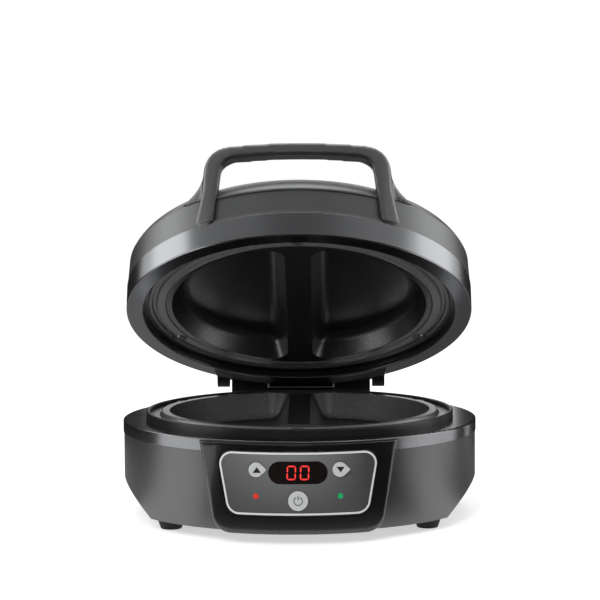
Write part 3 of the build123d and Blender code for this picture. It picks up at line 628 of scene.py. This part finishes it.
# %% A tree that places bars
BAR_WELD = 1e-5                    # of a bar's length


def tree_input(tree, name, kind, value):
    socket = tree.interface.new_socket(name=name, in_out="INPUT", socket_type=kind)
    socket.default_value = value
    return socket.identifier


def add_node(tree, kind, settings=(), sockets=()):
    """A Geometry Nodes node, made in the same way as a shader node."""
    made = tree.nodes.new(kind)
    for key, value in dict(settings).items():
        setattr(made, key, value)
    for key, value in dict(sockets).items():
        if isinstance(value, bpy.types.NodeSocket):
            tree.links.new(value, made.inputs[key])
        else:
            made.inputs[key].default_value = value
    return made


def new_tree(name, *inputs):
    """An empty tree with a mesh in, a mesh out and named sizes."""
    tree = bpy.data.node_groups.new(name, "GeometryNodeTree")
    tree.interface.new_socket(name="Geometry", in_out="INPUT", socket_type="NodeSocketGeometry")
    names = {label: tree_input(tree, label, kind, value) for label, kind, value in inputs}
    tree.interface.new_socket(name="Geometry", in_out="OUTPUT", socket_type="NodeSocketGeometry")
    return tree, names, tree.nodes.new("NodeGroupInput"), tree.nodes.new("NodeGroupOutput")


def place_copies(tree, given, out, instance, **settings):
    """Puts the instance on every given point, makes the copies real and gives them the finish."""
    sockets = {"Points": given.outputs["Geometry"], "Instance": instance, **settings}
    placed = add_node(tree, "GeometryNodeInstanceOnPoints", {}, sockets)
    real = add_node(tree, "GeometryNodeRealizeInstances", {}, {"Geometry": placed.outputs[0]})
    coloured = add_node(tree, "GeometryNodeSetMaterial", {},
                        {"Geometry": real.outputs[0], "Material": given.outputs["Finish"]})
    tree.links.new(coloured.outputs[0], out.inputs[0])


def bar_tree():
    tree, names, given, out = new_tree(
        "display_bars", ("Length", "NodeSocketFloat", 0.004), ("Width", "NodeSocketFloat", 0.001),
        ("Depth", "NodeSocketFloat", 0.0004), ("Finish", "NodeSocketMaterial", None))
    hexagon = add_node(tree, "GeometryNodeMeshCircle", {"fill_type": "NGON"}, {"Vertices": 6, "Radius": 0.5})
    thick = add_node(tree, "GeometryNodeExtrudeMesh", {"mode": "FACES"},
                     {"Mesh": hexagon.outputs["Mesh"], "Offset Scale": 1.0})
    back = add_node(tree, "GeometryNodeFlipFaces", {}, {"Mesh": hexagon.outputs["Mesh"]})
    closed = add_node(tree, "GeometryNodeJoinGeometry")
    tree.links.new(thick.outputs["Mesh"], closed.inputs[0])
    tree.links.new(back.outputs["Mesh"], closed.inputs[0])
    welded = add_node(tree, "GeometryNodeMergeByDistance", {},
                      {"Geometry": closed.outputs[0], "Distance": BAR_WELD})
    size = add_node(tree, "ShaderNodeCombineXYZ", {},
                    {"X": given.outputs["Length"], "Y": given.outputs["Width"], "Z": given.outputs["Depth"]})
    turn = add_node(tree, "GeometryNodeInputNamedAttribute", {"data_type": "FLOAT"}, {"Name": "turn"})
    angle = add_node(tree, "ShaderNodeCombineXYZ", {}, {"X": math.pi / 2, "Z": 0.0})
    lean = add_node(tree, "FunctionNodeRotateEuler", {"space": "LOCAL"}, {"Rotation": angle.outputs[0]})
    spin = add_node(tree, "ShaderNodeCombineXYZ", {}, {"Z": turn.outputs["Attribute"]})
    tree.links.new(spin.outputs[0], lean.inputs["Rotate By"])
    place_copies(tree, given, out, welded.outputs[0], Rotation=lean.outputs[0], Scale=size.outputs[0])
    return tree, names


# %% Run the tree and bend its bars to the window
def grown(name, points, attributes, tree, names, sizes):
    """Runs a tree on loose points and returns the plain mesh it makes, as a new piece."""
    data = bpy.data.meshes.new(name)
    data.from_pydata(points, [], [])
    for label, (kind, values) in attributes.items():
        data.attributes.new(label, kind, "POINT").data.foreach_set(
            "value" if kind == "FLOAT" else "vector", values)
    piece = new_object(name, data)
    maker = piece.modifiers.new("maker", "NODES")
    maker.node_group = tree
    for label, value in sizes.items():
        maker[names[label]] = value
    graph = bpy.context.evaluated_depsgraph_get()
    made = bpy.data.meshes.new_from_object(piece.evaluated_get(graph))
    piece.modifiers.clear()
    piece.data = made
    print(name, len(made.polygons), "faces")
    return piece


def bend_to_console(piece, proud):
    """Moves a flat front piece back so that it follows the console's round face."""
    radius = CONSOLE_RADIUS + proud
    for vertex in piece.data.vertices:
        x = vertex.co.x
        vertex.co.y += CONSOLE_CENTRE_Y - math.sqrt(radius * radius - x * x)


red_glow = glowing_lens("red_digit_glow", (0.80, 0.035, 0.03), 1.0)
bars, bar_names = bar_tree()
level_bars, upright_bars = zero_segments()
for label, group, length in (("level", level_bars, DIGIT_WIDTH - STROKE * LEVEL_TRIM),
                             ("upright", upright_bars, DIGIT_HEIGHT / 2 - STROKE * UPRIGHT_TRIM)):
    spots, turns = [], []
    for offset in DIGIT_OFFSETS:
        for x, z, turn in group:
            spots.append((offset + x + SLANT * z, 0.0, WINDOW_Z + z))
            turns.append(turn)
    digits = grown(f"digit_bars_{label}", spots, {"turn": ("FLOAT", turns)}, bars, bar_names,
                   {"Length": length, "Width": STROKE, "Depth": BAR_DEPTH, "Finish": red_glow.material})
    bend_to_console(digits, BAR_PROUD - WINDOW_SET_BACK)
    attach(digits, "base")

# %% [markdown]
# ## Pan-head screws
# Three screws hold each cooking plate and one holds each foot. They are all the same zinc-plated screw: a
# domed head with a cross recess on a plain shank. One tree makes the screw from its sizes, stands it on
# every point it is given and turns it so that its head faces outward. The plate screws stand on a circle at
# listed angles and the foot screws under the middle of each foot. The imported screws give their height and
# lengths, and each set becomes one mesh that stands for them.

# %% A tree that sets screws
SCREW_HEAD_RADIUS = 3.1 * MM
SCREW_HEAD_HEIGHT = 2.0 * MM
SCREW_SHANK_RADIUS = 1.6 * MM
RECESS_LENGTH = 1.15               # shares of the head's radius and height
RECESS_WIDTH = 0.26
RECESS_DEPTH = 1.2
HEAD_CROWN = 1.3
KEPT_WIDTH = 3.0


def screw_tree():
    tree, names, given, out = new_tree(
        "pan_head_screws", ("Head Radius", "NodeSocketFloat", SCREW_HEAD_RADIUS),
        ("Head Height", "NodeSocketFloat", SCREW_HEAD_HEIGHT),
        ("Shank Radius", "NodeSocketFloat", SCREW_SHANK_RADIUS),
        ("Shank Length", "NodeSocketFloat", 0.01), ("Outward", "NodeSocketVector", (0.0, 0.0, 1.0)),
        ("Finish", "NodeSocketMaterial", None))

    def product(value, share):
        return add_node(tree, "ShaderNodeMath", {"operation": "MULTIPLY"}, {0: value, 1: share}).outputs[0]

    def triple(x, y, z):
        return add_node(tree, "ShaderNodeCombineXYZ", {}, {"X": x, "Y": y, "Z": z}).outputs[0]

    def moved(mesh, place, scale=(1.0, 1.0, 1.0)):
        return add_node(tree, "GeometryNodeTransform", {},
                        {"Geometry": mesh, "Translation": place, "Scale": scale}).outputs[0]

    def box(size, place):
        return moved(add_node(tree, "GeometryNodeMeshCube", {}, {"Size": size}).outputs["Mesh"], place)

    radius, height = given.outputs["Head Radius"], given.outputs["Head Height"]
    ball = add_node(tree, "GeometryNodeMeshUVSphere", {}, {"Segments": 32, "Rings": 16, "Radius": 1.0})
    crown = moved(ball.outputs["Mesh"], (0.0, 0.0, 0.0), triple(radius, radius, product(height, HEAD_CROWN)))
    kept_size = triple(product(radius, KEPT_WIDTH), product(radius, KEPT_WIDTH), height)
    kept = box(kept_size, triple(0.0, 0.0, product(height, 0.5)))
    head = add_node(tree, "GeometryNodeMeshBoolean", {"operation": "INTERSECT"})
    for part in (crown, kept):
        tree.links.new(part, head.inputs["Mesh 2"])
    recess = add_node(tree, "GeometryNodeMeshBoolean", {"operation": "DIFFERENCE"},
                      {"Mesh 1": head.outputs["Mesh"]})
    long_side, short_side = product(radius, RECESS_LENGTH), product(radius, RECESS_WIDTH)
    for size in ((long_side, short_side), (short_side, long_side)):
        tree.links.new(box(triple(*size, product(height, RECESS_DEPTH)), triple(0.0, 0.0, height)),
                       recess.inputs["Mesh 2"])
    length = given.outputs["Shank Length"]
    shank = add_node(tree, "GeometryNodeMeshCylinder", {},
                     {"Vertices": 24, "Radius": given.outputs["Shank Radius"], "Depth": length})
    whole = add_node(tree, "GeometryNodeJoinGeometry")
    tree.links.new(recess.outputs["Mesh"], whole.inputs[0])
    lowered = moved(shank.outputs["Mesh"], triple(0.0, 0.0, product(length, -0.5)))
    tree.links.new(lowered, whole.inputs[0])
    facing = add_node(tree, "FunctionNodeAlignRotationToVector", {"axis": "Z"},
                      {"Vector": given.outputs["Outward"]})
    place_copies(tree, given, out, whole.outputs[0], Rotation=facing.outputs[0])
    return tree, names


# %% Set the screws
PLATE_SCREW_CIRCLE = 105.5 * MM
PLATE_SCREW_ANGLES = [math.radians(degrees) for degrees in (-90.0, 30.0, 150.0)]
CREASE = 40.0
plate_places = [(PLATE_SCREW_CIRCLE * math.cos(angle), PLATE_SCREW_CIRCLE * math.sin(angle))
                for angle in PLATE_SCREW_ANGLES]
screw_maker, screw_names = screw_tree()


def on_lid(x, y):
    """A plan position of the closed lid, carried to where the open lid has it."""
    return HINGE + Vector((x, 0.0, 0.0)) + lid_front * (HINGE.y - y)


def set_screws(name, node, places, outward, body):
    """Screws on lines through the given places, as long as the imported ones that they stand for."""
    reach = [vertex.co.dot(outward) for vertex in nodes[node].data.vertices]
    seat = max(reach) - SCREW_HEAD_HEIGHT
    spots = [place + outward * (seat - place.dot(outward)) for place in places]
    piece = grown(name, spots, {}, screw_maker, screw_names,
                  {"Head Radius": SCREW_HEAD_RADIUS, "Head Height": SCREW_HEAD_HEIGHT,
                   "Shank Radius": SCREW_SHANK_RADIUS, "Shank Length": seat - min(reach),
                   "Outward": tuple(outward), "Finish": zinc.material})
    smooth(piece.data, CREASE)
    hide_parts(node)
    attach(piece, body)


upward = Vector((0.0, 0.0, 1.0))
foot_places = [(Vector(low) + Vector(high)) / 2 for low, high in (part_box(foot) for foot in feet)]
set_screws("cross_screws_lower_plate", "lower_plate_screws",
           [Vector((x, y, 0.0)) for x, y in plate_places], upward, "base")
set_screws("cross_screws_upper_plate", "upper_plate_screws",
           [on_lid(x, y) for x, y in plate_places], -lid_up, "lid")
set_screws("cross_screws_feet", "foot_screws", foot_places, -upward, "base")

# %% [markdown]
# ## Marks on the buttons
# The upper and lower buttons carry a dark triangle, and the round start button a plain standby sign: a
# broken ring and a bar. Each mark is a thin inlay that stands a hair proud of its cap and rides with it.

# %% Inlays
dark_ink = speckled_case("dark_inlay", (0.02, 0.02, 0.021), 0.42)
INLAY = 0.12 * MM
INLAY_SINK = 0.02 * MM             # how far an inlay is set into its cap
TRIANGLE_HALF_WIDTH = 2.8 * MM
TRIANGLE_HEIGHT = 3.9 * MM
TRIANGLE_SHIFT = 0.5 * MM
RING_RADIUS = 2.9 * MM
RING_WIDTH = 0.55 * MM
RING_START, RING_END, RING_STEPS = 120, 420, 30
BAR_HALF_WIDTH = 0.3 * MM
BAR_FOOT, BAR_TOP = 0.9 * MM, 3.6 * MM


def front_inlay(name, outlines, x, z, front, body):
    """A thin plate with the given outlines in front view, whose face is at y = front."""
    mesh = bmesh.new()
    for outline in outlines:
        face = mesh.faces.new([mesh.verts.new((x + u, front, z + v)) for u, v in outline])
        if face.normal.y > 0:
            face.normal_flip()
        solid = bmesh.ops.extrude_face_region(mesh, geom=[face])
        moved = [item for item in solid["geom"] if isinstance(item, bmesh.types.BMVert)]
        bmesh.ops.translate(mesh, vec=(0.0, -INLAY, 0.0), verts=moved)
    bmesh.ops.recalc_face_normals(mesh, faces=mesh.faces)
    data = bpy.data.meshes.new(name)
    mesh.to_mesh(data)
    mesh.free()
    piece = new_object(name, data)
    paint_piece(piece, dark_ink)
    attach(piece, body)


def triangle(half_width, height, points_up):
    flip = 1 if points_up else -1
    corners = [(-half_width, -flip * height / 2), (half_width, -flip * height / 2), (0.0, flip * height / 2)]
    return [corners if points_up else corners[::-1]]


def ring_arc(radius, width, start, end, steps):
    """Quads along a ring from one angle to another, in degrees, as one outline."""
    angles = [math.radians(start + (end - start) * i / steps) for i in range(steps + 1)]
    outer = [((radius + width / 2) * math.cos(a), (radius + width / 2) * math.sin(a)) for a in angles]
    inner = [((radius - width / 2) * math.cos(a), (radius - width / 2) * math.sin(a)) for a in angles]
    return outer + inner[::-1]


for name, points_up in (("up_button", True), ("down_button", False)):
    low, high = [Vector(corner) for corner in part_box(name)]
    centre_x = low.x + (high.z - low.z) / 2
    front_inlay(name + "_triangle", triangle(TRIANGLE_HALF_WIDTH, TRIANGLE_HEIGHT, points_up),
                centre_x + TRIANGLE_SHIFT, (low.z + high.z) / 2, low.y + INLAY_SINK, name)
low, high = [Vector(corner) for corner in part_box("start_button")]
arc = [ring_arc(RING_RADIUS, RING_WIDTH, RING_START, RING_END, RING_STEPS)]
bar = [[(-BAR_HALF_WIDTH, BAR_FOOT), (BAR_HALF_WIDTH, BAR_FOOT),
        (BAR_HALF_WIDTH, BAR_TOP), (-BAR_HALF_WIDTH, BAR_TOP)]]
front_inlay("start_button_sign", arc + bar, 0.0, (low.z + high.z) / 2, low.y + INLAY_SINK, "start_button")

# %% [markdown]
# ## The studio
# A pale floor and a large soft box overhead light the appliance. A smaller soft box behind each flank is
# for the polished lid ring, one in front is for the base, and two small ones high at the corners are for the
# handle. A fill light from the front left reaches matt surfaces only, because reflections don't show it.
# Dark curved cards stand round the appliance and are seen only in reflections: they give polished metal its
# dark centre between two bright bars. The floor and the world look white to the camera, and the floor keeps
# a soft shadow under the feet because only part of its light is its own.

# %% Flat and curved cards
def stage_piece(name, corners, faces, finish):
    data = bpy.data.meshes.new(name)
    data.from_pydata(corners, [], faces)
    piece = new_object(name, data)
    paint_piece(piece, finish)
    return piece


FLOOR_HALF = 30.0
GLOW_START, GLOW_END = 0.35, 1.0
FLOOR_WHITE = 0.80
NEAR_GLOW, FAR_GLOW = 0.57, 0.68

floor_finish = Finish("pale_floor", (FLOOR_WHITE,) * 3, Roughness=0.95, Specular_IOR_Level=0.0,
                      Emission_Strength=1.0)
reach = floor_finish.node("ShaderNodeVectorMath", {"operation": "LENGTH"}, {0: floor_finish.place})
glow = floor_finish.ramp(Value(floor_finish, reach.outputs["Value"]),
                         (GLOW_START, (NEAR_GLOW,) * 3), (GLOW_END, (FAR_GLOW,) * 3))
floor_finish.feed(floor_finish.surface.inputs["Emission Color"],
                  floor_finish.blend(floor_finish.seen_directly(), (0.0, 0.0, 0.0), glow))
floor_corners = [(x * FLOOR_HALF, y * FLOOR_HALF, 0.0) for x, y in ((-1, -1), (1, -1), (1, 1), (-1, 1))]
stage_piece("studio_floor", floor_corners, [(0, 1, 2, 3)], floor_finish)

# %% Dark cards for reflections
CARD_STEPS = 16
CARD_LIFT = 0.5 * MM
EDGE_GROWTH = 2.0                  # how fast a graded card grows paler, per square metre
FAR, NEAR = 0.80, 0.42             # radii of the cards before and behind the appliance
CARD_TOP = 1.70
FRONT_SPLIT = 0.45                 # the black front card ends here and the grey one begins
CANOPY_HALF = 0.70
CANOPY_BACK = (0.05, 1.75)
FRONT_TABLE_INNER, SIDE_TABLE_INNER = 0.19, 0.135
SIDE_FOOT = 0.62
FLANK_TOP, REAR_TOP, BACK_TOP = 0.20, 0.34, 0.10
SIDE_START, SIDE_END = 62.0, 100.0
FLANK_END = 121.5
BACK_START, BEHIND = 161.0, 180.0
SIDE_TABLE_START = 86.5


def card_finish(name, tone, edge_tone=None):
    """Matt card stock, which may grow paler from the middle of the studio to its sides."""
    stock = Finish(name, (tone,) * 3, Roughness=1.0, Specular_IOR_Level=0.0)
    if edge_tone:
        across = stock.axis("X")
        stock.paint(stock.blend(across * across * EDGE_GROWTH, (tone,) * 3, (edge_tone,) * 3))
    return stock


card_black = card_finish("black_card", 0.02)
card_dark = card_finish("dark_grey_card", 0.18, 0.42)
card_grey = card_finish("grey_card", 0.44)
card_table = card_finish("table_card", 0.22)
card_pale = card_finish("pale_table_card", 0.34)


def ring_points(start, end, radius, z):
    """Points on an arc round the object, between two angles from the front, in degrees."""
    turns = [math.radians(start + (end - start) * i / CARD_STEPS) for i in range(CARD_STEPS + 1)]
    return [(radius * math.sin(t), -radius * math.cos(t), z) for t in turns]


def card(name, first_edge, second_edge, finish):
    """A card between two edges of equal length, seen only in reflections."""
    count = len(first_edge)
    faces = [(i, i + 1, count + i + 1, count + i) for i in range(count - 1)]
    piece = stage_piece(name, first_edge + second_edge, faces, finish)
    piece.visible_camera = False
    piece.visible_diffuse = False
    piece.visible_shadow = False


def upright_card(name, start, end, radius, bottom, top, finish):
    card(name, ring_points(start, end, radius, bottom), ring_points(start, end, radius, top), finish)


def table_card(name, start, end, inner, outer, finish):
    card(name, ring_points(start, end, inner, CARD_LIFT), ring_points(start, end, outer, CARD_LIFT), finish)


upright_card("card_front_low", -60.0, 76.0, FAR, 0.0, FRONT_SPLIT, card_black)
upright_card("card_front_high", -SIDE_START, SIDE_START, FAR, FRONT_SPLIT, CARD_TOP, card_dark)
table_card("card_table_front", -47.0, 60.0, FRONT_TABLE_INNER, FAR, card_black)
card("card_canopy", [(x, -FAR, CARD_TOP) for x in (-CANOPY_HALF, CANOPY_HALF)],
     [(x, *CANOPY_BACK) for x in (-CANOPY_HALF, CANOPY_HALF)], card_grey)
for side, label, flank_start, rear_start, table in ((-1, "left", 88.0, FLANK_END, card_pale),
                                                    (1, "right", 105.0, 126.0, card_table)):
    upright_card(f"card_side_high_{label}", side * SIDE_START, side * SIDE_END, FAR, SIDE_FOOT, CARD_TOP,
                 card_grey)
    upright_card(f"card_flank_{label}", side * flank_start, side * FLANK_END, NEAR, 0.0, FLANK_TOP,
                 card_black)
    upright_card(f"card_rear_{label}", side * rear_start, side * BACK_START, NEAR, 0.0, REAR_TOP, card_black)
    upright_card(f"card_back_{label}", side * BACK_START, side * BEHIND, NEAR, 0.0, BACK_TOP, card_black)
    table_card(f"card_table_{label}", side * SIDE_TABLE_START, side * BEHIND, SIDE_TABLE_INNER, NEAR, table)

# %% Lamps and sky
def soft_box(name, width, height, power, centre, facing):
    """A rectangular lamp of a size in metres and a power in watts, aimed at a point."""
    light = bpy.data.lights.new(name, "AREA")
    light.shape = "RECTANGLE"
    light.size, light.size_y = width, height
    light.energy = power
    lamp = new_object(name, light)
    away = Vector(facing) - Vector(centre)
    lamp.matrix_world = Matrix.Translation(centre) @ away.to_track_quat("-Z", "Y").to_matrix().to_4x4()
    return lamp


AT_BASE, AT_LID, AT_HANDLE = [(0.0, 0.0, height) for height in (0.10, 0.20, 0.27)]
SKY_LIGHT = 0.42

soft_box("soft_box_left", 0.50, 0.60, 1.1, (-0.92, 0.23, 0.57), AT_LID)
soft_box("soft_box_right", 0.50, 0.60, 0.98, (0.90, 0.36, 0.57), AT_LID)
fill = soft_box("soft_box_fill", 0.9, 0.6, 11.0, (-0.50, -1.40, 0.95), AT_BASE)
fill.visible_glossy = False
soft_box("soft_box_front", 0.8, 0.3, 3.0, (0.0, -1.30, 1.05), AT_BASE)
soft_box("soft_box_corner_left", 0.25, 0.25, 0.35, (-0.67, -0.42, 1.37), AT_HANDLE)
soft_box("soft_box_corner_right", 0.25, 0.25, 0.2, (0.69, -0.40, 1.33), AT_HANDLE)
soft_box("soft_box_top", 1.3, 1.0, 6.5, (0.0, 0.60, 1.50), AT_BASE)

world = bpy.data.worlds.new("studio_world")
bpy.context.scene.world = world
world.use_nodes = True
sky = Net(world.node_tree)
background = sky.tree.nodes["Background"]
sky.feed(background.inputs["Color"], (1.0, 1.0, 1.0, 1.0))
sky.feed(background.inputs["Strength"], sky.seen_directly() * (1.0 - SKY_LIGHT) + SKY_LIGHT)

# %% [markdown]
# ## The camera
# A long lens from a little above the worktop, almost straight on. The small roll and the small turn keep
# the same slightly uneven view as a hand-placed product on a sweep.

# %% Camera
CAMERA_DISTANCE = 1.8
CAMERA_TARGET = Vector((0.0, 0.0, 0.1573))
CAMERA_RISE = math.radians(4.975)
CAMERA_TURN = math.radians(0.55)
CAMERA_ROLL = math.radians(-0.375)
SENSOR_WIDTH = 36.0                # millimetres, as is the focal length
FOCAL_LENGTH = 146.56
SIDE_SHIFT = 0.00205

lens = bpy.data.cameras.new("camera")
lens.sensor_width = SENSOR_WIDTH
lens.lens = FOCAL_LENGTH
lens.shift_x = SIDE_SHIFT
camera = new_object("camera", lens)
back = Vector((math.sin(CAMERA_TURN) * math.cos(CAMERA_RISE),
               -math.cos(CAMERA_TURN) * math.cos(CAMERA_RISE),
               math.sin(CAMERA_RISE)))
level_right = (-back).cross(Vector((0, 0, 1))).normalized()
level_up = level_right.cross(-back)
right = level_right * math.cos(CAMERA_ROLL) + level_up * math.sin(CAMERA_ROLL)
up = level_up * math.cos(CAMERA_ROLL) - level_right * math.sin(CAMERA_ROLL)
turned = Matrix((right, up, back)).transposed().to_4x4()
camera.matrix_world = Matrix.Translation(CAMERA_TARGET + back * CAMERA_DISTANCE) @ turned
bpy.context.scene.camera = camera
bpy.context.scene.view_settings.view_transform = "Standard"
